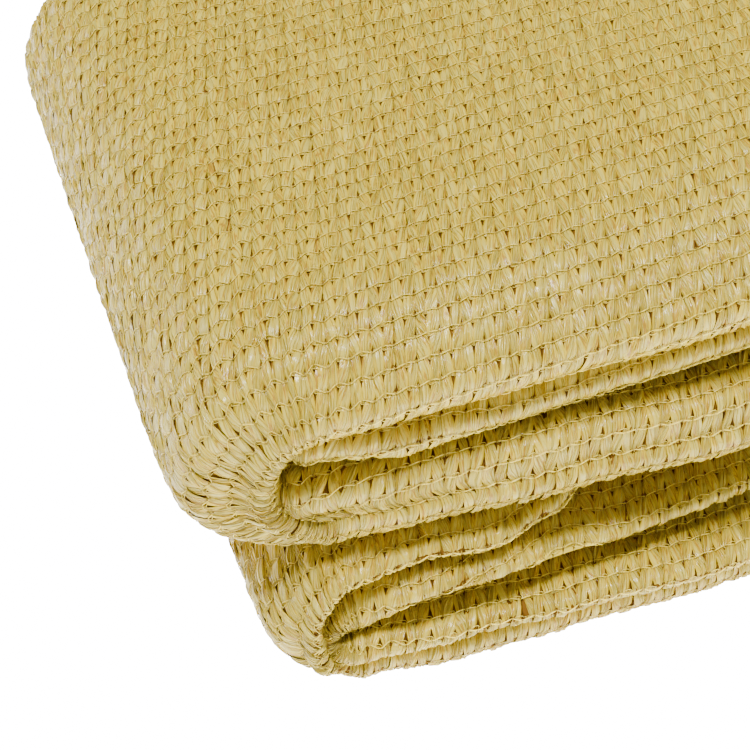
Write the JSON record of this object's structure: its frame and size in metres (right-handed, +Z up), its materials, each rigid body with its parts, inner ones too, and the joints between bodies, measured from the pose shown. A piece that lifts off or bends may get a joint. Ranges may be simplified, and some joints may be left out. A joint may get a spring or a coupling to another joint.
{
  "type": "folded length of knitted shade sail cloth",
  "caption": "Straw-coloured knitted shade sail cloth, doubled along its front edge and folded back and forth into a soft, springy packet.",
  "frame": {"origin": "centre of the footprint, on the surface that the folded cloth lies on", "axes": "+X along the knitted rows and the front fold, away from the left bends; +Y from the front fold towards the cut back edge; +Z up"},
  "size_m": [0.1788, 0.1732, 0.0657],
  "materials": {
    "knitted_cloth": "warp-knitted straw-yellow plastic tape and thread, satin with small glints"
  },
  "bodies": {
    "root": {"folded_cloth": "knitted_cloth"}
  },
  "joints": []
}
